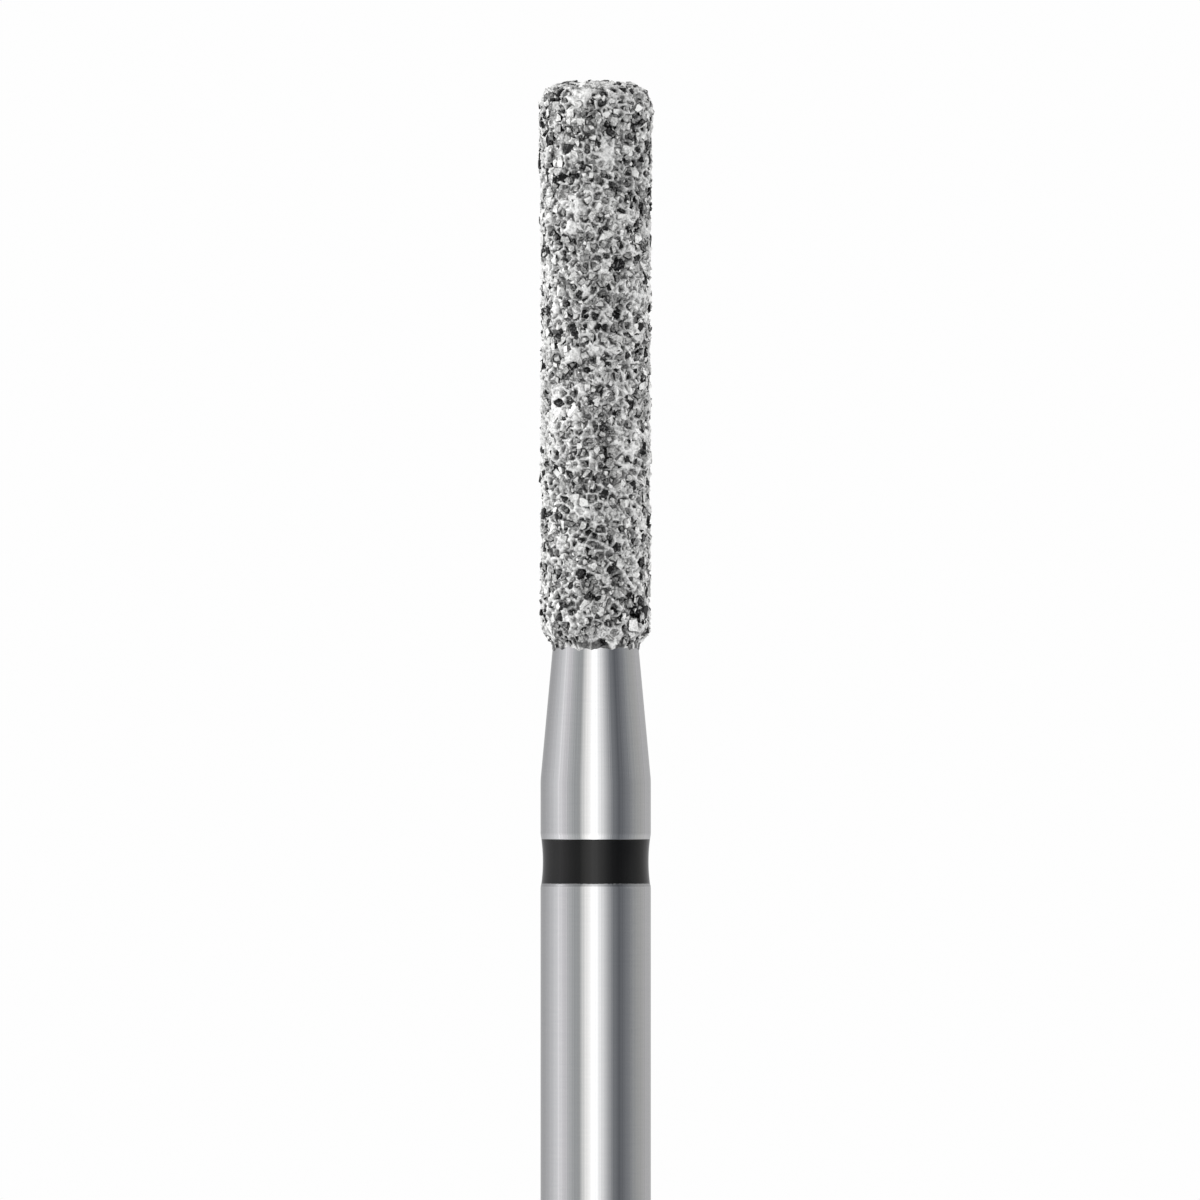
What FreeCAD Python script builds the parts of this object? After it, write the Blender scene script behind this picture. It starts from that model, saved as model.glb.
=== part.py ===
# A friction-grip dental bur with a long cylindrical diamond head, standing on its shank's end.
# The origin is the centre of the shank's end face, and +Z runs up the axis to the tip.
# Lengths are in millimetres. Three pieces make it: the turned steel blank, the paint ring
# that codes the grit, and the nickel coating that holds the diamond grains.

import FreeCAD, Part
import math
import os
import random

Vector = FreeCAD.Vector
AXIS = Vector(0, 0, 1)

# Turned steel blank, from the shank's end upwards
shank_diameter = 1.60
shank_chamfer = 0.20
shank_length = 10.27  # end face to the ring groove
groove_width = 0.80
groove_depth = 0.16
collar_length = 0.78  # plain stretch between the groove and the neck
neck_length = 1.90
core_diameter = 1.25  # the neck's narrow end, and the core under the coating
core_length = 8.07
core_edge_round = 0.20

# Lips of the groove, each a shallow bevel, and the paint between them
lip_width = 0.08
lip_drop = 0.012
ring_sag = 0.021  # how far the paint's middle lies below its edges

# Nickel that holds the grains on the core
nickel_thickness = 0.10
foot_length = 0.28  # the coating thins out over this length, down to the neck
foot_thickness = 0.03
tip_crown = 0.03  # how far the middle of the tip stands above its shoulder
tip_flare = 0.03  # extra plating at the tip's edge
tip_flare_length = 2.50

# Diamond grains, each a crystal whose root lies in the nickel
grain_pitch = 0.208
grain_scatter = 0.072
grain_exposure = 0.090  # how far the tallest grains stand out of the nickel
grain_low_share = 0.35  # lowest corner of a crystal's top face, as a share of the exposure
facet_shares = (0.42, 0.72)  # reach of a top face's corners, as shares of the cell's
bare_share = 0.05  # share of the places that lost their grain
bare_exposure = 0.018
valley_roughness = 0.015
grit_seed = 11

# Radii and heights that follow from the sizes above
shank_radius = shank_diameter / 2
core_radius = core_diameter / 2
groove_low = shank_length
groove_high = groove_low + groove_width
neck_low = groove_high + collar_length
head_low = neck_low + neck_length
core_top = head_low + core_length
nickel_radius = core_radius + nickel_thickness
nickel_top = core_top + nickel_thickness
tip_round = core_edge_round + nickel_thickness


def turned(section):
    """Solid of revolution about the axis, from a closed wire in the XZ plane."""
    return Part.Face(section).revolve(Vector(), AXIS, 360)


def circle_edge(solid, radius, height):
    """The edge of a turned solid that runs round the axis at a radius and a height."""
    for edge in solid.Edges:
        low, high = edge.BoundBox.ZMin, edge.BoundBox.ZMax
        at_height = abs(low - height) < 1e-6 and abs(high - height) < 1e-6
        if at_height and abs(edge.BoundBox.XMax - radius) < 1e-6:
            return edge
    raise ValueError(f"no edge of radius {radius} at height {height}")


def steel_blank():
    """Shank with its ring groove, tapered neck and the core under the coating."""
    floor_radius = shank_radius - groove_depth
    lip_radius = shank_radius - lip_drop
    outline = [
        (0, 0),
        (shank_radius - shank_chamfer, 0),
        (shank_radius, shank_chamfer),
        (shank_radius, groove_low),
        (lip_radius, groove_low + lip_width),
        (floor_radius, groove_low + lip_width),
        (floor_radius, groove_high - lip_width),
        (lip_radius, groove_high - lip_width),
        (shank_radius, groove_high),
        (shank_radius, neck_low),
        (core_radius, head_low),
        (core_radius, core_top),
        (0, core_top),
        (0, 0),
    ]
    blank = turned(Part.makePolygon([Vector(r, 0, z) for r, z in outline]))
    return blank.makeFillet(core_edge_round, [circle_edge(blank, core_radius, core_top)])


def colour_ring():
    """Paint that fills the groove from its floor to a slightly hollow face between the lips."""
    floor_radius = shank_radius - groove_depth
    edge_radius = shank_radius - lip_drop
    low = groove_low + lip_width
    high = groove_high - lip_width
    walls = Part.makePolygon(
        [
            Vector(edge_radius, 0, high),
            Vector(floor_radius, 0, high),
            Vector(floor_radius, 0, low),
            Vector(edge_radius, 0, low),
        ]
    )
    pull = Vector(edge_radius - 2 * ring_sag, 0, (low + high) / 2)
    hollow = Part.BezierCurve()
    hollow.setPoles([Vector(edge_radius, 0, low), pull, Vector(edge_radius, 0, high)])
    return turned(Part.Wire([*walls.Edges, hollow.toShape()]))


def nickel_profile():
    """Outer line of the nickel in the XZ plane, from the tip's centre down to the neck."""
    tip_radius = nickel_radius + tip_flare
    shoulder = nickel_top - tip_crown
    inset = tip_round * (1 - math.sqrt(0.5))
    end_of_face = Vector(tip_radius - tip_round, 0, shoulder)
    corner = Vector(tip_radius - inset, 0, shoulder - inset)
    end_of_corner = Vector(tip_radius, 0, shoulder - tip_round)
    end_of_flare = Vector(nickel_radius, 0, nickel_top - tip_flare_length)
    top_of_foot = Vector(nickel_radius, 0, head_low + foot_length)
    rim = Vector(core_radius + foot_thickness, 0, head_low)
    return Part.Wire(
        [
            Part.makeLine(Vector(0, 0, nickel_top), end_of_face),
            Part.Arc(end_of_face, corner, end_of_corner).toShape(),
            Part.makeLine(end_of_corner, end_of_flare),
            Part.makeLine(end_of_flare, top_of_foot),
            Part.makeLine(top_of_foot, rim),
        ]
    )


def about_axis(vector, angle):
    """A vector of the XZ plane, turned about the axis."""
    return Vector(vector.x * math.cos(angle), vector.x * math.sin(angle), vector.z)


class Seat:
    """A grain's place on the nickel: its point, outward normal and downhill direction."""

    def __init__(self, point, normal, downhill, angle):
        self.point = about_axis(point, angle)
        self.normal = about_axis(normal, angle)
        self.downhill = about_axis(downhill, angle)
        self.sideways = self.normal.cross(self.downhill)
        self.angle = angle
        self.valleys = []

    def scatter(self, chance):
        """Moves the seat off its even place, along the surface."""
        self.point += self.downhill * chance.uniform(-grain_scatter, grain_scatter)
        self.point += self.sideways * chance.uniform(-grain_scatter, grain_scatter)

    def bearing(self, point):
        """Direction from the seat to a point, as an angle about its normal."""
        offset = point - self.point
        return math.atan2(offset.dot(self.sideways), offset.dot(self.downhill))

    def cell(self):
        """The valley points round the seat, in order about its normal."""
        return sorted(self.valleys, key=self.bearing)


def seat_courses(chance):
    """Seats in courses round the axis, from the tip's centre down. The last course is the rim."""
    profile = nickel_profile()
    course_count = round(profile.Length / (grain_pitch * math.sqrt(0.75)))
    points = profile.discretize(Number=course_count + 1)
    courses = [[Seat(points[0], AXIS, Vector(1, 0, 0), 0)]]
    for index in range(1, course_count + 1):
        point = points[index]
        downhill = points[min(index + 1, course_count)] - points[index - 1]
        downhill.normalize()
        normal = Vector(-downhill.z, 0, downhill.x)
        count = max(5, round(2 * math.pi * point.x / grain_pitch))
        step = 2 * math.pi / count
        stagger = chance.random()
        course = [Seat(point, normal, downhill, (k + stagger) * step) for k in range(count)]
        if index < course_count:
            for seat in course:
                seat.scatter(chance)
        courses.append(course)
    return courses


def strip(upper, lower):
    """Triangles between two closed rings of (angle, item), as triples of items."""
    if len(upper) == 1:
        return [(upper[0][1], b[1], c[1]) for b, c in zip(lower, lower[1:] + lower[:1])]
    full = 2 * math.pi
    above = upper + [(angle + full, item) for angle, item in upper]
    below = lower + [(angle + full, item) for angle, item in lower]
    triangles = []
    i = j = 0
    while i < len(upper) or j < len(lower):
        next_above = above[i][0] + above[i + 1][0] if i < len(upper) else math.inf
        next_below = below[j][0] + below[j + 1][0] if j < len(lower) else math.inf
        if next_below <= next_above:
            triangles.append((above[i][1], below[j][1], below[j + 1][1]))
            j += 1
        else:
            triangles.append((above[i][1], below[j][1], above[i + 1][1]))
            i += 1
    return triangles


def carve_valleys(courses, chance):
    """Puts a valley point between every three neighbouring seats. Returns those at the rim."""
    rim_valleys = []
    for upper, lower in zip(courses, courses[1:]):
        rings = [[(seat.angle, seat) for seat in course] for course in (upper, lower)]
        for trio in strip(*rings):
            outward = trio[0].normal + trio[1].normal + trio[2].normal
            outward.normalize()
            valley = (trio[0].point + trio[1].point + trio[2].point) / 3
            valley += outward * chance.uniform(0, valley_roughness)
            for seat in trio:
                seat.valleys.append(valley)
            if lower is courses[-1]:
                rim_valleys.append(valley)
    return rim_valleys


def crystal(seat, chance):
    """Facets of a seat's grain: a tilted triangle on top, and sides down to the valleys."""
    cell = seat.cell()
    corner_count = len(cell)
    centre = sum(cell, Vector()) / corner_count
    bare = chance.random() < bare_share
    highest = bare_exposure if bare else grain_exposure
    first = chance.randrange(corner_count)
    picks = [first + round(k * corner_count / 3) for k in range(4)]
    top = []
    for pick in picks[:3]:
        reach = (cell[pick % corner_count] - centre) * chance.uniform(*facet_shares)
        height = highest * chance.uniform(grain_low_share, 1)
        top.append(centre + reach + seat.normal * height)
    facets = [top]
    for k in range(3):
        here = top[k]
        there = top[(k + 1) % 3]
        middle = (picks[k] + picks[k + 1]) // 2
        facets.append([here, cell[middle % corner_count], there])
        for i in range(picks[k], picks[k + 1]):
            owner = here if i < middle else there
            facets.append([owner, cell[i % corner_count], cell[(i + 1) % corner_count]])
    return facets


class Skin:
    """Flat faces that share their corners and edges, so that they close into one solid."""

    def __init__(self):
        self.corners = {}
        self.edges = {}
        self.faces = []

    def corner(self, point):
        key = tuple(round(value, 6) for value in point)
        if key not in self.corners:
            self.corners[key] = (len(self.corners), Part.Vertex(point))
        return self.corners[key]

    def edge(self, start, end):
        key = (min(start[0], end[0]), max(start[0], end[0]))
        if key not in self.edges:
            self.edges[key] = Part.Edge(start[1], end[1])
        return self.edges[key]

    def add(self, points):
        """Adds the face of some points, which run anticlockwise seen from outside."""
        corners = [self.corner(point) for point in points]
        pairs = zip(corners, corners[1:] + corners[:1])
        face = Part.Face(Part.Wire([self.edge(start, end) for start, end in pairs]))
        outward = (points[1] - points[0]).cross(points[2] - points[0])
        if face.normalAt(0, 0).dot(outward) < 0:
            face.reverse()
        self.faces.append(face)

    def solid(self):
        return Part.makeSolid(Part.makeShell(self.faces))


def turn_of(point):
    """A point's angle about the axis, from 0 to a full turn."""
    return math.atan2(point.y, point.x) % (2 * math.pi)


def diamond_coating(blank):
    """Nickel and the grains it holds, as one layer over the blank's core."""
    chance = random.Random(grit_seed)
    courses = seat_courses(chance)
    rim_valleys = carve_valleys(courses, chance)
    rim = [seat.point for seat in courses[-1]]
    skin = Skin()
    for course in courses[:-1]:
        for seat in course:
            for facet in crystal(seat, chance):
                skin.add(facet)
    rings = [sorted(((turn_of(p), p) for p in ring), key=lambda place: place[0])
             for ring in (rim_valleys, rim)]
    for triangle in strip(*rings):
        skin.add(triangle)
    skin.add([point for _, point in reversed(rings[1])])
    return skin.solid().cut(blank)


def main():
    os.makedirs("parts", exist_ok=True)
    blank = steel_blank()
    pieces = {
        "steel_blank": blank,
        "colour_ring": colour_ring(),
        "diamond_coating": diamond_coating(blank),
    }
    for name, shape in pieces.items():
        shape.exportStep(f"parts/{name}.step")
        box = shape.BoundBox
        print(f"{name}: {len(shape.Solids)} solid, {len(shape.Faces)} faces, valid {shape.isValid()}, "
              f"volume {shape.Volume:.4f}, height {box.ZMin:.3f} to {box.ZMax:.3f}, "
              f"width {box.XLength:.3f}")


main()
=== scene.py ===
# Looks of a friction-grip dental bur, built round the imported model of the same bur.
# The frame's own coordinates are used: metres, +Z up the bur's axis, the shank's end at the origin.
import bisect
import math
import random

import bmesh
import bpy
from mathutils import Euler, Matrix, Vector, kdtree, noise


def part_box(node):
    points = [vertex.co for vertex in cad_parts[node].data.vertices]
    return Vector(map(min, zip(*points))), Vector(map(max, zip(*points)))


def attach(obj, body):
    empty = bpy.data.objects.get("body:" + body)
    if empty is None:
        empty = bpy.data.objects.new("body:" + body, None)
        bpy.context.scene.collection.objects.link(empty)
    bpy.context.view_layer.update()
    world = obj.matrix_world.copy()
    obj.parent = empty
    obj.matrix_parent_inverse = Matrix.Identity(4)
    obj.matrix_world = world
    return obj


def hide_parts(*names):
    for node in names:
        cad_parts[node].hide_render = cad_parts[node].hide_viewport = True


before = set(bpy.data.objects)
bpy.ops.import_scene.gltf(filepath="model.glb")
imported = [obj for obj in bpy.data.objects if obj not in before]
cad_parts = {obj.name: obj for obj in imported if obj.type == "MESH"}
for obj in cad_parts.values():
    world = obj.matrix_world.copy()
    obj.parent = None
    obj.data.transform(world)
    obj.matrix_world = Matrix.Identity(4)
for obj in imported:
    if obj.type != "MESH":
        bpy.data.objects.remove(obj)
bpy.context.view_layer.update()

MM = 0.001
_, blank_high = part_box("steel_blank")
ring_low, ring_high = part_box("colour_ring")
coat_low, coat_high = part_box("diamond_coating")

# Turned steel, upwards from the shank's end
shank_radius = blank_high.x
shank_chamfer = 0.20 * MM
edge_round = 0.018 * MM
end_round = 2 * edge_round
lip_round = 14 * edge_round
lip_edge_round = edge_round / 2
collar_round = 60 * edge_round
lip_width = 0.08 * MM
lip_drop = 0.012 * MM
lip_radius = shank_radius - lip_drop
upper_lip_painted_highlight = 0.18  # painted highlight: how much lighter the groove's upper lip is than the rest
lip_shade = 0.22  # painted shade: how much darker its lower lip is
groove_depth = 0.16 * MM
groove_radius = shank_radius - groove_depth
collar_length = 0.78 * MM
neck_radius = 0.625 * MM
groove_low = ring_low.z - lip_width
groove_high = ring_high.z + lip_width
neck_low = groove_high + collar_length
head_low = coat_low.z
core_overlap = 0.30 * MM  # how far the shown neck runs on inside the head

# Paint in the groove
ring_sag = 0.021 * MM

# Nickel plating. Its foot thins out down the neck, as (radius, height over the head's lower end) in mm.
nickel_radius = 0.725 * MM
nickel_top = 21.92 * MM
tip_round = 0.30 * MM
tip_crown = 0.03 * MM
tip_flare = 0.03 * MM
tip_flare_length = 2.50 * MM
foot_line = [(0.725, 0.28), (0.706, 0.235), (0.662, 0.165), (0.634, 0.10), (0.629, 0.0), (0.60, -0.01)]
foot_length = foot_line[0][1] * MM
foot_wave = 0.045 * MM
foot_waves = [(1.0, 2.6, 0.4), (0.6, 9, 1.7)]  # strength, fineness about the axis, and place in the noise
nickel_relief = 0.024 * MM
foot_relief = 0.35  # at the head's lower end, of that relief
nickel_lump = 0.09 * MM
lump_fractal = (0.6, 2.1, 3)  # increment, lacunarity and octaves
vein_width = 0.056 * MM  # nickel climbs in uneven ridges between the grains
vein_height = 0.076 * MM
tip_painted_ridge_shade = 0.5  # of that height, taken for the painted light and shade of the tip's centre
vein_waver = 0.035 * MM
vein_patch = 0.22 * MM
patch_mean = 0.62
patch_swing = 0.8
patch_most = 1.2
patch_width = 0.4  # added to a patch's strength, it gives the ridges' width there
patch_height = 0.25  # and this gives their height

# Diamond: whole grains, and the chips and small grains between them
grain_layers = {
    "diamond_grains": {"spacing": 0.127, "size": (0.080, 0.185), "exposure": (0.044, 0.104), "cuts": (5, 9)},
    "diamond_chips": {"spacing": 0.094, "size": (0.042, 0.092), "exposure": (0.028, 0.078), "cuts": (2, 4)},
}
proud_power = 2.0  # above 1, most grains stand low and a few stand proud
black_exposure = 0.84  # of the proudest grain
crystal_kinds = 36
crystal_cut = (0.34, 0.50)  # how far from the middle of a crystal of size 1 its corners are cut
crystal_width = (0.75, 1.1)  # of its length
crystal_thickness = (0.55, 1.0)
black_below = 0.05  # the share of grains that are black
white_above = 0.93  # and the share above which they are white
black_tone = -0.60
white_tone = 1.15
plain_tones = (0.05, 0.90)
facet_scatter = 0.12
# painted shade on the facets that face sideways, towards the neighbouring grains
rim_painted_shade = 0.75
rim_middle = 0.72  # how far outwards a facet faces where its tone is the grain's own; facets that face further out get painted light, and those that face more sideways get painted shade
grain_scatter = 0.36  # of the spacing
seat_play = (0.1, 0.9)  # of the step between two grains
foot_bare = (0.12, 0.42)  # grains end between these shares of the foot's height
foot_size = 0.55  # of a grain at the head's lower end, of the size higher up
foot_exposure = 0.45
tip_swell = 0.012 * MM  # how much prouder the grains stand round the tip, where plating builds up
tip_swell_length = 0.60 * MM
grit_seed = 31

# Photo's framing: pixels are those of a 1200 x 1200 image
frame_pixels = 1200
pixels_per_metre = 68940
axis_pixel = 595.7
tip_pixel = 80.5
camera_distance = 0.50
camera_clip = (0.01, 10)
sensor_width = 36.0

segments = 256  # round the turned steel
on_axis = 1e-9  # a radius below this is taken as 0


def mesh_object(name, vertices, faces, smooth):
    """A new object from vertex and face lists, linked to the scene."""
    mesh = bpy.data.meshes.new(name)
    mesh.from_pydata(vertices, [], faces)
    mesh.update()
    mesh.polygons.foreach_set("use_smooth", [smooth] * len(mesh.polygons))
    made = bpy.data.objects.new(name, mesh)
    bpy.context.scene.collection.objects.link(made)
    return made


def lathe(name, outline, around=segments, closed=False):
    """A smooth surface turned about the axis from (radius, height) points. Points on the axis cap it,
    and a closed outline joins its last point to its first."""
    vertices = []
    rings = []
    for radius, height in outline:
        if radius < on_axis:
            rings.append([len(vertices)] * around)
            vertices.append((0, 0, height))
            continue
        rings.append(range(len(vertices), len(vertices) + around))
        for k in range(around):
            angle = 2 * math.pi * k / around
            vertices.append((radius * math.cos(angle), radius * math.sin(angle), height))
    if closed:
        rings.append(rings[0])
    faces = []
    for lower, upper in zip(rings, rings[1:]):
        for k in range(around):
            j = (k + 1) % around
            corners = [lower[k], lower[j], upper[j], upper[k]]
            faces.append(list(dict.fromkeys(corners)))
    return mesh_object(name, vertices, faces, True)


def rounded(corners, steps=5, support=0.4):
    """A line through (radius, height, rounding) corners. A rounded one becomes a short curve, and a
    support point on each side of the curve keeps the shading of the long runs flat."""
    points = [Vector(corners[0][:2])]
    for before, corner, after in zip(corners, corners[1:], corners[2:]):
        middle = Vector(corner[:2])
        back = (Vector(before[:2]) - middle).normalized()
        ahead = (Vector(after[:2]) - middle).normalized()
        if corner[2] == 0:
            points.append(middle)
            continue
        turn = math.pi - back.angle(ahead)
        reach = corner[2] * math.tan(turn / 2)
        start, end = middle + back * reach, middle + ahead * reach
        points.append(middle + back * reach * (1 + support))
        for k in range(steps + 1):
            t = k / steps
            points.append(start * (1 - t) ** 2 + middle * 2 * t * (1 - t) + end * t ** 2)
        points.append(middle + ahead * reach * (1 + support))
    points.append(Vector(corners[-1][:2]))
    return [(point.x, point.y) for point in points]


def build_blank():
    """Shank, groove with its lips, collar and tapered neck. It ends inside the head, just above the neck."""
    corners = [
        (0, 0, 0),
        (shank_radius - shank_chamfer, 0, end_round),
        (shank_radius, shank_chamfer, end_round),
        (shank_radius, groove_low + lip_width / 2, lip_round),
        (lip_radius, ring_low.z, 0),
        (groove_radius, ring_low.z, 0),
        (groove_radius, ring_high.z, 0),
        (lip_radius, ring_high.z, lip_edge_round),
        (shank_radius, groove_high, lip_round),
        (shank_radius, neck_low, collar_round),
        (neck_radius, head_low, 0),
        (neck_radius, head_low + core_overlap, 0),
        (0, head_low + core_overlap, 0),
    ]
    return lathe("turned_blank", rounded(corners))


def build_ring():
    """Paint in the groove. Its face dips in the middle and runs out flush at the lips."""
    steps = 24
    outline = [(groove_radius, ring_low.z)]
    for k in range(steps + 1):
        across = 2 * k / steps - 1
        dip = ring_sag * (1 - across ** 2)
        height = ring_low.z + (ring_high.z - ring_low.z) * k / steps
        outline.append((lip_radius - dip, height))
    outline.append((groove_radius, ring_high.z))
    return lathe("painted_ring", outline, closed=True)


class Profile:
    """Outer line of the nickel, from the tip's centre down to the neck, read by distance along it."""

    def __init__(self, steps_per_mm=40):
        self.points = self.corner_points(steps_per_mm)
        self.lengths = [0.0]
        for one, two in zip(self.points, self.points[1:]):
            self.lengths.append(self.lengths[-1] + (two - one).length)
        self.length = self.lengths[-1]

    def corner_points(self, steps_per_mm):
        shoulder = nickel_top - tip_crown
        tip_radius = nickel_radius + tip_flare
        centre = Vector((tip_radius - tip_round, shoulder - tip_round))
        points = [Vector((0, nickel_top))]
        steps = 24
        for k in range(steps + 1):
            angle = math.pi / 2 * (1 - k / steps)
            points.append(centre + tip_round * Vector((math.cos(angle), math.sin(angle))))
        points.append(Vector((nickel_radius, nickel_top - tip_flare_length)))
        for radius, height in foot_line:
            points.append(Vector((radius * MM, head_low + height * MM)))
        fine = []
        for one, two in zip(points, points[1:]):
            count = max(1, math.ceil((two - one).length / MM * steps_per_mm))
            fine += [one.lerp(two, k / count) for k in range(count)]
        return fine + [points[-1]]

    def at(self, distance):
        """The point at a distance along the line, and the outward normal there, as (radius, height)."""
        k = min(max(bisect.bisect_left(self.lengths, distance), 1), len(self.points) - 1)
        one, two = self.points[k - 1], self.points[k]
        share = (distance - self.lengths[k - 1]) / (self.lengths[k] - self.lengths[k - 1])
        along = (two - one).normalized()
        return one.lerp(two, share), Vector((-along.y, along.x))


def round_axis(flat, angle):
    """A (radius, height) vector, turned to an angle about the axis."""
    return Vector((flat.x * math.cos(angle), flat.x * math.sin(angle), flat.y))


def foot_share(height):
    """0 at the head's lower end, 1 where the nickel's foot ends and above."""
    return min(max((height - head_low) / foot_length, 0.0), 1.0)


def above_foot(low, share):
    """low at the head's lower end, rising to 1 at the top of the nickel's foot."""
    return low + (1 - low) * share


def foot_drop(angle, share):
    """Moves the nickel's lower edge up and down the neck in uneven waves, and nothing above its foot."""
    wave = 0.0
    for strength, fineness, level in foot_waves:
        wave += strength * noise.noise(Vector((math.cos(angle), math.sin(angle), level)) * fineness)
    return Vector((0, 0, foot_wave * wave * (1 - share)))


def vein(grains, place):
    """Height of the nickel's ridge at a place: most midway between two grains, and low in some patches."""
    patch = min(max(patch_mean + patch_swing * noise.noise(place / vein_patch), 0.0), patch_most)
    wavered = place + vein_waver * noise.noise_vector(place / nickel_lump)
    (_, _, nearest), (_, _, second) = grains.find_n(wavered, 2)
    share = max(0.0, 1 - (second - nearest) / (vein_width * (patch_width + patch)))
    return vein_height * min(patch + patch_height, 1.0) * share * share * (3 - 2 * share)


def build_nickel(profile, seats, around=220):
    """The nickel between the grains, uneven as plating is, with a wavy lower edge on the neck."""
    grains = kdtree.KDTree(len(seats))
    for index, seat in enumerate(seats):
        grains.insert(seat, index)
    grains.balance()
    vertices = [Vector((0, 0, nickel_top))]
    painted_ridge_shade = [tip_painted_ridge_shade]
    rows = profile.points[1:]
    inside_neck = len(rows) - 2  # rows from this one on lie inside the steel, so they aren't lifted
    for index, point in enumerate(rows):
        before = rows[max(index - 1, 0)]
        after = rows[min(index + 1, len(rows) - 1)]
        along = (after - before).normalized()
        normal = Vector((-along.y, along.x))
        share = foot_share(point.y)
        relief = nickel_relief * above_foot(foot_relief, share)
        for k in range(around):
            angle = 2 * math.pi * k / around
            place = round_axis(point, angle)
            lift = relief * noise.fractal(place / nickel_lump, *lump_fractal)
            ridge = vein(grains, place)
            # the ridge's share of its height, kept for painted light on the ridges and painted shade in the
            # valleys at the grains' feet
            painted_ridge_shade.append(ridge / vein_height)
            lift += share * ridge
            if index >= inside_neck:
                lift = 0.0
            vertices.append(place + round_axis(normal, angle) * lift + foot_drop(angle, share))
    faces = [(0, 1 + k, 1 + (k + 1) % around) for k in range(around)]
    for row in range(len(rows) - 1):
        upper = 1 + row * around
        lower = upper + around
        for k in range(around):
            j = (k + 1) % around
            faces.append((upper + k, lower + k, lower + j, upper + j))
    nickel = mesh_object("nickel_plating", vertices, faces, True)
    attribute = nickel.data.attributes.new("ridge", "FLOAT", "POINT")
    attribute.data.foreach_set("value", painted_ridge_shade)
    return nickel


def crystal_shape(chance, cuts):
    """A blocky crystal about one unit across: a cube with its corners and edges cut off unevenly."""
    bm = bmesh.new()
    bmesh.ops.create_cube(bm, size=1.0)
    for _ in range(chance.randint(*cuts)):
        direction = Vector([chance.gauss(0, 1) for _ in range(3)]).normalized()
        cut = bmesh.ops.bisect_plane(
            bm,
            geom=bm.verts[:] + bm.edges[:] + bm.faces[:],
            plane_co=direction * chance.uniform(*crystal_cut),
            plane_no=direction,
            clear_outer=True,
        )
        edges = [item for item in cut["geom_cut"] if isinstance(item, bmesh.types.BMEdge)]
        if edges:
            bmesh.ops.edgeloop_fill(bm, edges=edges)
    bmesh.ops.recalc_face_normals(bm, faces=bm.faces[:])
    bm.verts.index_update()
    points = [vertex.co.copy() for vertex in bm.verts]
    faces = [[vertex.index for vertex in face.verts] for face in bm.faces]
    bm.free()
    return points, faces


def grain_seats(profile, chance, spacing):
    """Even places over the nickel: a spiral in which each turn moves on by the golden angle."""
    strips = 600
    step = profile.length / strips
    area = [0.0]
    for k in range(strips):
        point, _ = profile.at((k + 0.5) * step)
        area.append(area[-1] + 2 * math.pi * point.x * step)
    count = int(area[-1] / spacing ** 2)
    golden = math.pi * (3 - math.sqrt(5))
    for index in range(count):
        wanted = (index + chance.uniform(*seat_play)) / count * area[-1]
        strip = min(max(bisect.bisect_left(area, wanted), 1), strips) - 1
        share = (wanted - area[strip]) / (area[strip + 1] - area[strip])
        distance = (strip + share) * step + chance.gauss(0, grain_scatter) * spacing
        point, normal = profile.at(min(max(distance, 0), profile.length))
        angle = index * golden + chance.gauss(0, grain_scatter) * spacing / max(point.x, spacing)
        yield point, normal, angle


def grain_tone(chance):
    """How light a grain is: mostly between 0 and 1, but below 0 for a few black ones and over 1 for a few
    white ones."""
    kind = chance.random()
    if kind < black_below:
        return black_tone
    if kind > white_above:
        return white_tone
    return chance.uniform(*plain_tones)


def facet_tone_and_shade(tone, outward, chance):
    """Painted shade and light: a facet is darker the more it faces sideways, towards its neighbours, and
    lighter the more it faces outwards.
    """
    shade = rim_painted_shade * (outward - rim_middle)
    return min(max(tone + shade + chance.gauss(0, facet_scatter), 0.0), 1.0)


def build_grains(name, profile, layer):
    """Crystals half sunk in the nickel, each standing proud by its own amount, with a tone and painted shade
    for each facet.
    Returns them as one piece, and their seats on the nickel."""
    chance = random.Random(grit_seed + len(name))
    shapes = [crystal_shape(chance, layer["cuts"]) for _ in range(crystal_kinds)]
    vertices = []
    faces = []
    tones_and_shade = []
    seats = []
    for flat, flat_normal, angle in grain_seats(profile, chance, layer["spacing"] * MM):
        points, sides = chance.choice(shapes)
        size = chance.uniform(*layer["size"]) * MM
        stretch = Vector((1, chance.uniform(*crystal_width), chance.uniform(*crystal_thickness)))
        turn = Euler([chance.uniform(0, 2 * math.pi) for _ in range(3)]).to_matrix()
        low, high = layer["exposure"]
        exposure = (low + (high - low) * chance.random() ** proud_power) * MM
        tone = grain_tone(chance)
        if tone < 0:
            size = layer["size"][1] * MM
            exposure = black_exposure * high * MM
        share = foot_share(flat.y)
        if share < chance.uniform(*foot_bare):
            continue
        stretch *= size * above_foot(foot_size, share)
        exposure *= above_foot(foot_exposure, share)
        below_tip = nickel_top - tip_round - flat.y
        exposure += tip_swell * max(flat_normal.x, 0) * min(max(1 - below_tip / tip_swell_length, 0), 1)
        seat, normal = round_axis(flat, angle), round_axis(flat_normal, angle)
        seats.append(seat)
        corners = [turn @ Vector(a * b for a, b in zip(point, stretch)) for point in points]
        lift = exposure - max(corner.dot(normal) for corner in corners)
        first = len(vertices)
        vertices += [seat + normal * lift + corner for corner in corners]
        for side in sides:
            faces.append([first + corner for corner in side])
            one, two, three = (corners[corner] for corner in side[:3])
            # how far the facet faces outwards, which sets its painted shade
            outward = (two - one).cross(three - two).normalized().dot(normal)
            tones_and_shade.append(facet_tone_and_shade(tone, outward, chance))
    grains = mesh_object(name, vertices, faces, False)
    attribute = grains.data.attributes.new("facet_tone_and_shade", "FLOAT", "FACE")
    attribute.data.foreach_set("value", tones_and_shade)
    return grains, seats


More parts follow.
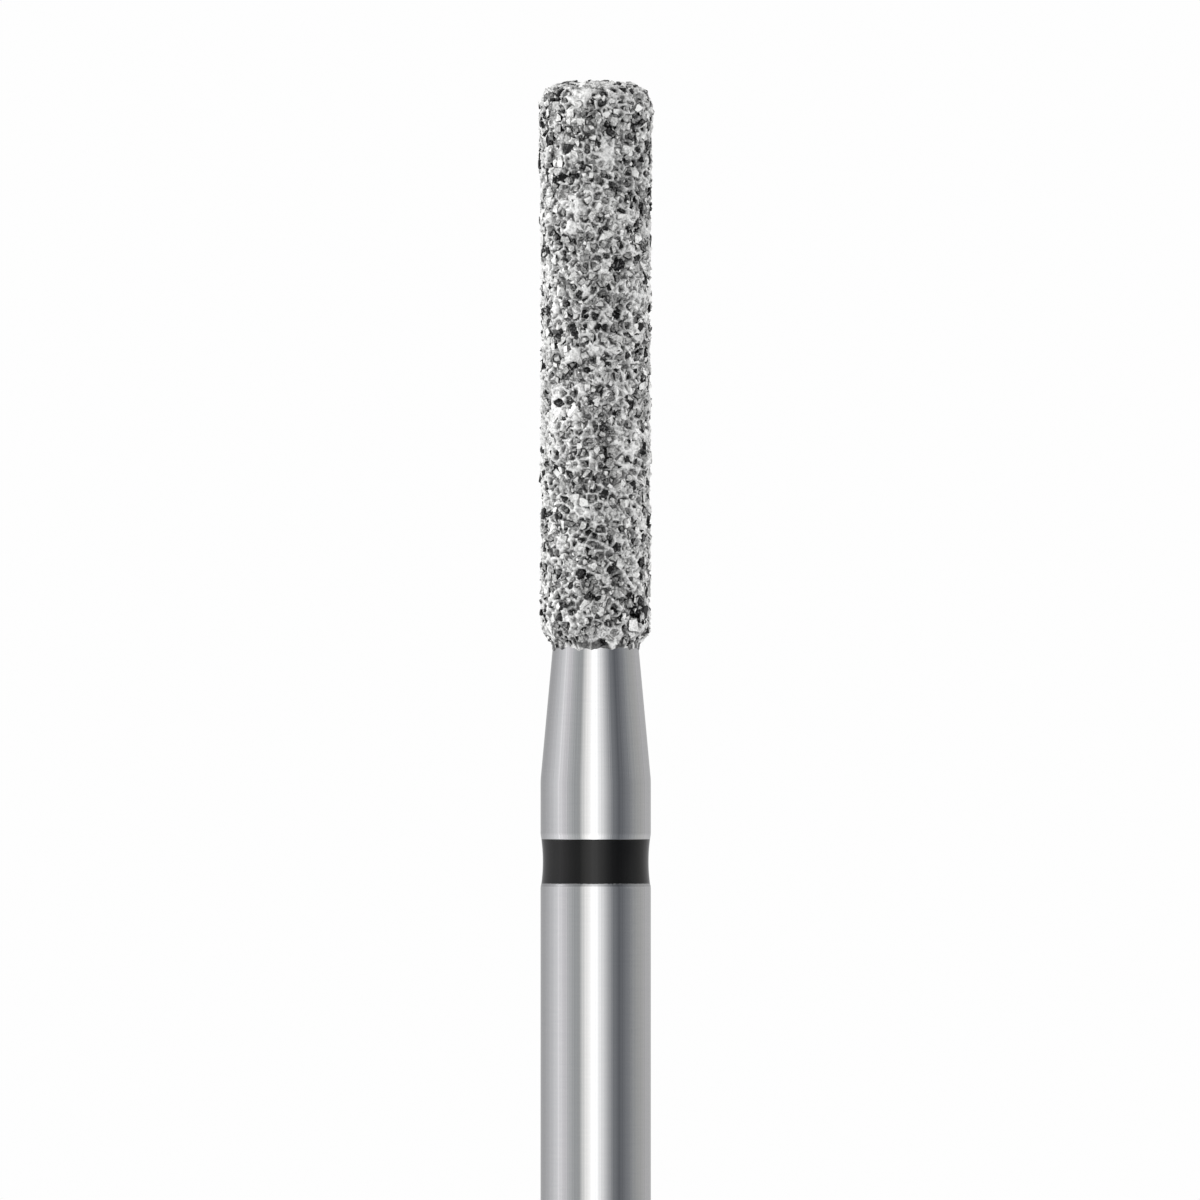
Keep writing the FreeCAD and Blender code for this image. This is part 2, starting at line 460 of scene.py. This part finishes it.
class Nodes:
    """Short ways to add and join the nodes of a material or world."""

    def __init__(self, owner):
        owner.use_nodes = True
        self.tree = owner.node_tree
        self.tree.nodes.clear()

    def add(self, kind, **values):
        node = self.tree.nodes.new(kind)
        for name, value in values.items():
            setattr(node, name, value)
        return node

    def join(self, source, target):
        self.tree.links.new(source, target)

    def math(self, operation, *values):
        node = self.add("ShaderNodeMath", operation=operation)
        for socket, value in zip(node.inputs, values):
            if isinstance(value, (int, float)):
                socket.default_value = value
            else:
                self.join(value, socket)
        return node.outputs[0]

    def ramp(self, factor, stops):
        """A colour ramp with (position, grey or colour) stops."""
        node = self.add("ShaderNodeValToRGB")
        elements = node.color_ramp.elements
        while len(elements) < len(stops):
            elements.new(1.0)
        for element, (position, colour) in zip(elements, stops):
            element.position = position
            element.color = (*colour, 1) if isinstance(colour, tuple) else (colour, colour, colour, 1)
        self.join(factor, node.inputs["Fac"])
        return node.outputs["Color"]

    def place(self, stretch=(1, 1, 1)):
        """The object's own coordinates, stretched."""
        place = self.add("ShaderNodeTexCoord")
        mapping = self.add("ShaderNodeMapping")
        mapping.inputs["Scale"].default_value = stretch
        self.join(place.outputs["Object"], mapping.inputs["Vector"])
        return mapping.outputs["Vector"]

    def noise(self, scale, detail=2.0, stretch=(1, 1, 1)):
        texture = self.add("ShaderNodeTexNoise")
        texture.inputs["Scale"].default_value = scale
        texture.inputs["Detail"].default_value = detail
        self.join(self.place(stretch), texture.inputs["Vector"])
        return texture.outputs["Fac"]

    def axes(self):
        """The object's own X, Y and Z."""
        parts = self.add("ShaderNodeSeparateXYZ")
        self.join(self.place(), parts.inputs["Vector"])
        return parts.outputs

    def cells(self, scale):
        """A different grey for each cell of a Voronoi pattern."""
        texture = self.add("ShaderNodeTexVoronoi")
        texture.inputs["Scale"].default_value = scale
        self.join(self.place(), texture.inputs["Vector"])
        grey = self.add("ShaderNodeSeparateColor")
        self.join(texture.outputs["Color"], grey.inputs["Color"])
        return grey.outputs["Red"]

    def between(self, share, low, high):
        """low where the share is 0, and high where it is 1."""
        return self.math("MULTIPLY_ADD", share, high - low, low)

    def band(self, place, middle, half_width, fade):
        """1 within half_width of the middle, falling to 0 over the fade."""
        off = self.math("ABSOLUTE", self.math("SUBTRACT", place, middle))
        near = self.math("MULTIPLY_ADD", off, -1 / fade, 1 + half_width / fade)
        return self.math("MINIMUM", self.math("MAXIMUM", near, 0.0), 1.0)

    def bump(self, height, distance):
        node = self.add("ShaderNodeBump")
        node.inputs["Distance"].default_value = distance
        self.join(height, node.inputs["Height"])
        return node.outputs["Normal"]

    def surface(self, **values):
        """A Principled shader on the output. Links and plain values are set by socket name."""
        shader = self.add("ShaderNodeBsdfPrincipled")
        for name, value in values.items():
            socket = shader.inputs[name.replace("_", " ")]
            if isinstance(value, bpy.types.NodeSocket):
                self.join(value, socket)
            else:
                socket.default_value = value
        output = self.add("ShaderNodeOutputMaterial")
        self.join(shader.outputs[0], output.inputs["Surface"])
        return shader


def steel_material():
    """Polished steel with very faint turning lines round the axis, a painted highlight on the groove's upper
    lip and painted shade on its lower lip.
    """
    material = bpy.data.materials.new("polished_steel")
    nodes = Nodes(material)
    lines = nodes.noise(scale=2500, detail=3.0, stretch=(1, 1, 22))
    patches = nodes.noise(scale=900)
    colour = nodes.ramp(lines, [(0.3, (0.590, 0.593, 0.600)), (0.7, (0.615, 0.615, 0.618))])
    height = nodes.axes()["Z"]
    upper_middle = ring_high.z + 0.45 * lip_width
    lower_middle = ring_low.z - 0.22 * lip_width
    upper_lip = nodes.band(height, upper_middle, half_width=0.25 * lip_width, fade=0.50 * lip_width)
    lower_lip = nodes.band(height, lower_middle, half_width=0.24 * lip_width, fade=0.12 * lip_width)
    # painted highlight on the upper lip and painted shade on the lower lip, scaled into the steel's colour
    tone = nodes.math("MULTIPLY_ADD", upper_lip, upper_lip_painted_highlight, 1.0)
    tone = nodes.math("MULTIPLY_ADD", lower_lip, -lip_shade, tone)
    lip_painted_light = nodes.add("ShaderNodeVectorMath", operation="SCALE")
    nodes.join(colour, lip_painted_light.inputs["Vector"])
    nodes.join(tone, lip_painted_light.inputs["Scale"])
    nodes.surface(
        Base_Color=lip_painted_light.outputs["Vector"],
        Metallic=1.0,
        Roughness=nodes.between(patches, 0.050, 0.090),
        Normal=nodes.bump(lines, 0.00015 * MM),
    )
    return material


def paint_material():
    """Black baked paint, semi-gloss, a little uneven."""
    material = bpy.data.materials.new("ring_paint")
    nodes = Nodes(material)
    cloud = nodes.noise(scale=1800, detail=3.0)
    colour = nodes.ramp(cloud, [(0.3, (0.0030, 0.0030, 0.0032)), (0.7, (0.0055, 0.0054, 0.0053))])
    nodes.surface(
        Base_Color=colour,
        Roughness=nodes.between(cloud, 0.085, 0.135),
        IOR=1.38,
        Normal=nodes.bump(cloud, 0.0015 * MM),
    )
    return material


def nickel_material():
    """Matt nickel plating, nodular between the grains, with painted light on its ridges and painted shade at
    the grains' feet.
    """
    material = bpy.data.materials.new("nickel")
    nodes = Nodes(material)
    lump_light = 1.4
    painted_ridge_light = 0.75
    base_light = -0.63
    lumps = nodes.noise(scale=26000, detail=3.0)
    ridge = nodes.add("ShaderNodeAttribute", attribute_name="ridge").outputs["Fac"]
    light = nodes.math("MULTIPLY_ADD", lumps, lump_light, base_light)
    # painted light on the ridges and painted shade at the grains' feet
    light = nodes.math("MULTIPLY_ADD", ridge, painted_ridge_light, light)
    colour = nodes.ramp(
        light,
        [
            (0.0, (0.06, 0.06, 0.06)),
            (0.35, (0.22, 0.22, 0.218)),
            (0.65, (0.61, 0.61, 0.605)),
            (0.95, (0.90, 0.90, 0.89)),
        ],
    )
    nodes.surface(
        Base_Color=colour,
        Metallic=0.05,
        Roughness=0.34,
        Normal=nodes.bump(lumps, 0.012 * MM),
    )
    return material


def diamond_material():
    """Grains from near black to near white, each facet with its own tone and painted shade, broken into
    smaller steps.
    """
    material = bpy.data.materials.new("diamond")
    nodes = Nodes(material)
    step_light = 0.30
    speck_light = 1.0
    darkening = 0.69
    tone = nodes.add("ShaderNodeAttribute", attribute_name="facet_tone_and_shade").outputs["Fac"]
    steps = nodes.cells(scale=15000)
    specks = nodes.noise(scale=36000, detail=3.0)
    mixed = nodes.math("MULTIPLY_ADD", steps, step_light, tone)
    mixed = nodes.math("MULTIPLY_ADD", specks, speck_light, mixed)
    mixed = nodes.math("SUBTRACT", mixed, darkening)
    colour = nodes.ramp(
        mixed,
        [
            (0.0, (0.003, 0.003, 0.0032)),
            (0.10, (0.055, 0.055, 0.056)),
            (0.28, (0.19, 0.19, 0.188)),
            (0.50, (0.38, 0.38, 0.375)),
            (0.75, (0.66, 0.66, 0.65)),
            (0.92, (0.88, 0.88, 0.87)),
        ],
    )
    nodes.surface(
        Base_Color=colour,
        Metallic=0.0,
        Roughness=0.20,
        IOR=1.45,
        Specular_IOR_Level=0.30,
        Normal=nodes.bump(steps, 0.008 * MM),
    )
    return material


def floor_material():
    """Pale floor, seen from above. From below it is clear, so the bur's end shows."""
    material = bpy.data.materials.new("pale_floor")
    nodes = Nodes(material)
    grain = nodes.noise(scale=400)
    colour = nodes.ramp(grain, [(0.3, 0.915), (0.7, 0.93)])
    shader = nodes.surface(Base_Color=colour, Roughness=0.8, Specular_IOR_Level=0.0)
    clear = nodes.add("ShaderNodeBsdfTransparent")
    side = nodes.add("ShaderNodeNewGeometry")
    mix = nodes.add("ShaderNodeMixShader")
    nodes.join(side.outputs["Backfacing"], mix.inputs["Fac"])
    nodes.join(shader.outputs[0], mix.inputs[1])
    nodes.join(clear.outputs[0], mix.inputs[2])
    output = nodes.tree.nodes["Material Output"]
    nodes.join(mix.outputs[0], output.inputs["Surface"])
    return material


# Cards that stand round the bur, out of the camera's sight, as (azimuth in degrees, light level,
# red and blue against green). Azimuth 0 is at the camera, and positive is to the right.
card_levels = [
    (-180, 0.50, 1.00, 1.01),
    (-139, 0.50, 1.00, 1.02),
    (-112, 0.67, 1.00, 1.02),
    (-92, 0.90, 1.00, 1.02),
    (-83, 1.06, 1.01, 1.02),
    (-68, 0.84, 1.02, 1.03),
    (-53, 0.60, 0.98, 1.01),
    (-40, 0.48, 0.97, 1.01),
    (-34, 0.54, 0.98, 1.00),
    (-27, 0.93, 1.00, 0.985),
    (-20, 1.25, 1.01, 0.985),
    (-13, 1.46, 1.01, 0.985),
    (-7, 1.74, 1.00, 1.00),
    (1, 1.68, 1.00, 1.00),
    (5, 1.46, 1.00, 1.00),
    (17, 0.94, 1.00, 1.01),
    (25, 0.63, 0.99, 1.02),
    (36, 0.30, 0.965, 1.06),
    (49, 0.175, 0.955, 1.09),
    (58, 0.21, 0.96, 1.08),
    (72, 0.30, 0.97, 1.06),
    (90, 0.44, 0.98, 1.00),
    (107, 0.54, 1.00, 0.98),
    (131, 0.61, 1.01, 1.01),
    (180, 0.50, 1.00, 1.01),
]
card_distance = 0.030
card_low = -0.060
card_high = 0.060
card_segments = 180
high_shade = (0.0195, 0.0230, 0.8)  # from the first height to the second, the light changes by this factor
streak_fineness = 26
streak_least = 0.60  # the streaks range from this share of a card's light
streak_most = 1.40  # to this one
floor_radius = 0.30
floor_height = -0.00002
floor_segments = 96
# Distant soft lamps, by name: light level, and width, azimuth and elevation in degrees
lamps = {
    "key_lamp": (2.2, 24, -86, 26),
    "fill_lamp": (1.0, 40, 88, 18),
}
room_light = 0.66  # of white, as far as it lights the bur and the floor
room_seen = 0.99


def card_material():
    """Light levels of the cards, by azimuth about the bur, with fine upright streaks."""
    material = bpy.data.materials.new("studio_cards")
    nodes = Nodes(material)
    axes = nodes.axes()
    towards = nodes.math("MULTIPLY", axes["Y"], -1.0)
    azimuth = nodes.math("ARCTAN2", axes["X"], towards)
    full_turn = 2 * math.pi
    share = nodes.math("MULTIPLY_ADD", azimuth, 1 / full_turn, 0.5)
    brightest = max(level for _, level, _, _ in card_levels)
    stops = []
    for degrees, level, red, blue in card_levels:
        light = level / brightest
        stops.append(((degrees + 180) / 360, (light * red, light, light * blue)))
    level = nodes.ramp(share, stops)
    streaks = nodes.add("ShaderNodeTexNoise", noise_dimensions="1D")
    streaks.inputs["Scale"].default_value = streak_fineness
    streaks.inputs["Detail"].default_value = 3.0
    nodes.join(azimuth, streaks.inputs["W"])
    strength = nodes.between(streaks.outputs["Fac"], streak_least * brightest, streak_most * brightest)
    shade = nodes.add("ShaderNodeMapRange")
    for socket, value in zip(("From Min", "From Max", "To Max"), high_shade):
        shade.inputs[socket].default_value = value
    shade.inputs["To Min"].default_value = 1.0
    nodes.join(axes["Z"], shade.inputs["Value"])
    strength = nodes.math("MULTIPLY", strength, shade.outputs["Result"])
    light = nodes.add("ShaderNodeEmission")
    nodes.join(level, light.inputs["Color"])
    nodes.join(strength, light.inputs["Strength"])
    output = nodes.add("ShaderNodeOutputMaterial")
    nodes.join(light.outputs[0], output.inputs["Surface"])
    return material


def build_stage():
    """Floor and ring of cards. The cards show only where they are mirrored, and the floor is never
    mirrored."""
    floor = lathe("floor", [(floor_radius, floor_height), (0, floor_height)], floor_segments)
    floor.data.materials.append(floor_material())
    floor.visible_glossy = False
    card_line = [(0, card_low), (card_distance, card_low), (card_distance, card_high)]
    cards = lathe("cards", card_line, card_segments)
    cards.data.materials.append(card_material())
    cards.visible_camera = False
    cards.visible_diffuse = False
    cards.visible_shadow = False


def build_lamps():
    """Distant soft lamps from the upper left and right, which bring out the grit."""
    for name, (strength, *angles) in lamps.items():
        width, azimuth, elevation = (math.radians(angle) for angle in angles)
        data = bpy.data.lights.new(name, "SUN")
        data.energy = strength
        data.angle = width
        lamp = bpy.data.objects.new(name, data)
        bpy.context.scene.collection.objects.link(lamp)
        across = math.cos(elevation)
        towards = Vector((across * math.sin(azimuth), -across * math.cos(azimuth), math.sin(elevation)))
        lamp.rotation_euler = (-towards).to_track_quat("-Z", "Y").to_euler()


def build_world():
    """White room, brighter where it is seen or mirrored than in the light that it casts."""
    world = bpy.data.worlds.new("white_room")
    bpy.context.scene.world = world
    nodes = Nodes(world)
    path = nodes.add("ShaderNodeLightPath")
    seen = nodes.math("MAXIMUM", path.outputs["Is Camera Ray"], path.outputs["Is Glossy Ray"])
    seen = nodes.math("MAXIMUM", seen, path.outputs["Is Transmission Ray"])
    light = nodes.add("ShaderNodeBackground")
    light.inputs["Color"].default_value = (1, 1, 1, 1)
    nodes.join(nodes.between(seen, room_light, room_seen), light.inputs["Strength"])
    output = nodes.add("ShaderNodeOutputWorld")
    nodes.join(light.outputs[0], output.inputs["Surface"])


def build_camera():
    """A long lens that looks level at the bur, framed as the photo is."""
    data = bpy.data.cameras.new("camera")
    camera = bpy.data.objects.new("camera", data)
    bpy.context.scene.collection.objects.link(camera)
    view_width = frame_pixels / pixels_per_metre
    data.sensor_width = sensor_width
    data.lens = sensor_width * camera_distance / view_width
    data.clip_start, data.clip_end = camera_clip
    middle = frame_pixels / 2
    aim_x = (middle - axis_pixel) / pixels_per_metre
    aim_z = coat_high.z - (middle - tip_pixel) / pixels_per_metre
    camera.location = (aim_x, -camera_distance, aim_z)
    camera.rotation_euler = (math.pi / 2, 0, 0)
    bpy.context.scene.camera = camera


def dress(piece, material, node):
    """Gives a piece its material, hangs it under the root body and hides the CAD node that it stands for."""
    piece.data.materials.append(material)
    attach(piece, "root")
    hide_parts(node)


noise.seed_set(grit_seed)  # unseeded, noise_vector differs from run to run
profile = Profile()
dress(build_blank(), steel_material(), "steel_blank")
dress(build_ring(), paint_material(), "colour_ring")
diamond = diamond_material()
grains, grain_middles = build_grains("diamond_grains", profile, grain_layers["diamond_grains"])
chips, _ = build_grains("diamond_chips", profile, grain_layers["diamond_chips"])
dress(grains, diamond, "diamond_coating")
dress(chips, diamond, "diamond_coating")
dress(build_nickel(profile, grain_middles), nickel_material(), "diamond_coating")
build_stage()
build_lamps()
build_world()
build_camera()
bpy.context.scene.view_settings.view_transform = "Standard"
